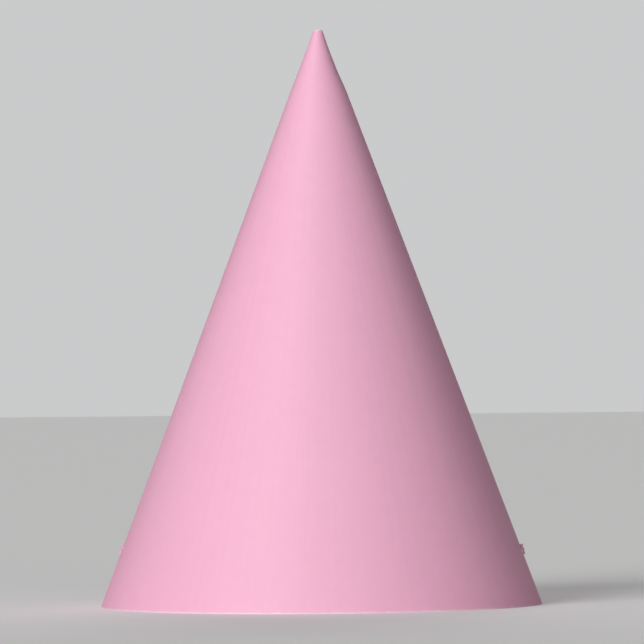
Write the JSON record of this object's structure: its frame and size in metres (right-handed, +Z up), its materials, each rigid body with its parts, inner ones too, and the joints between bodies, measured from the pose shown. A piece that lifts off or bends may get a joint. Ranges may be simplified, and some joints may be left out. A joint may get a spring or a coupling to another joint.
{
  "type": "cone party hat",
  "caption": "Plain cone party hat rolled from pink card with a taped back seam, and a chin elastic knotted through a hole at each side.",
  "frame": {"origin": "centre of the rim, in the plane that the hat stands on", "axes": "+Z up the cone's axis from the rim to the point, -Y towards the front of the hat, +Y towards the taped seam at the back, -X and +X towards the elastic's two holes"},
  "size_m": [0.136, 0.136, 0.178],
  "materials": {
    "card": "satin",
    "tape": "matt",
    "elastic": "braided"
  },
  "bodies": {
    "root": {"card_cone": "card", "seam_tape": "tape", "elastic_cord": "elastic", "knot_left": "elastic", "knot_right": "elastic"}
  },
  "joints": []
}
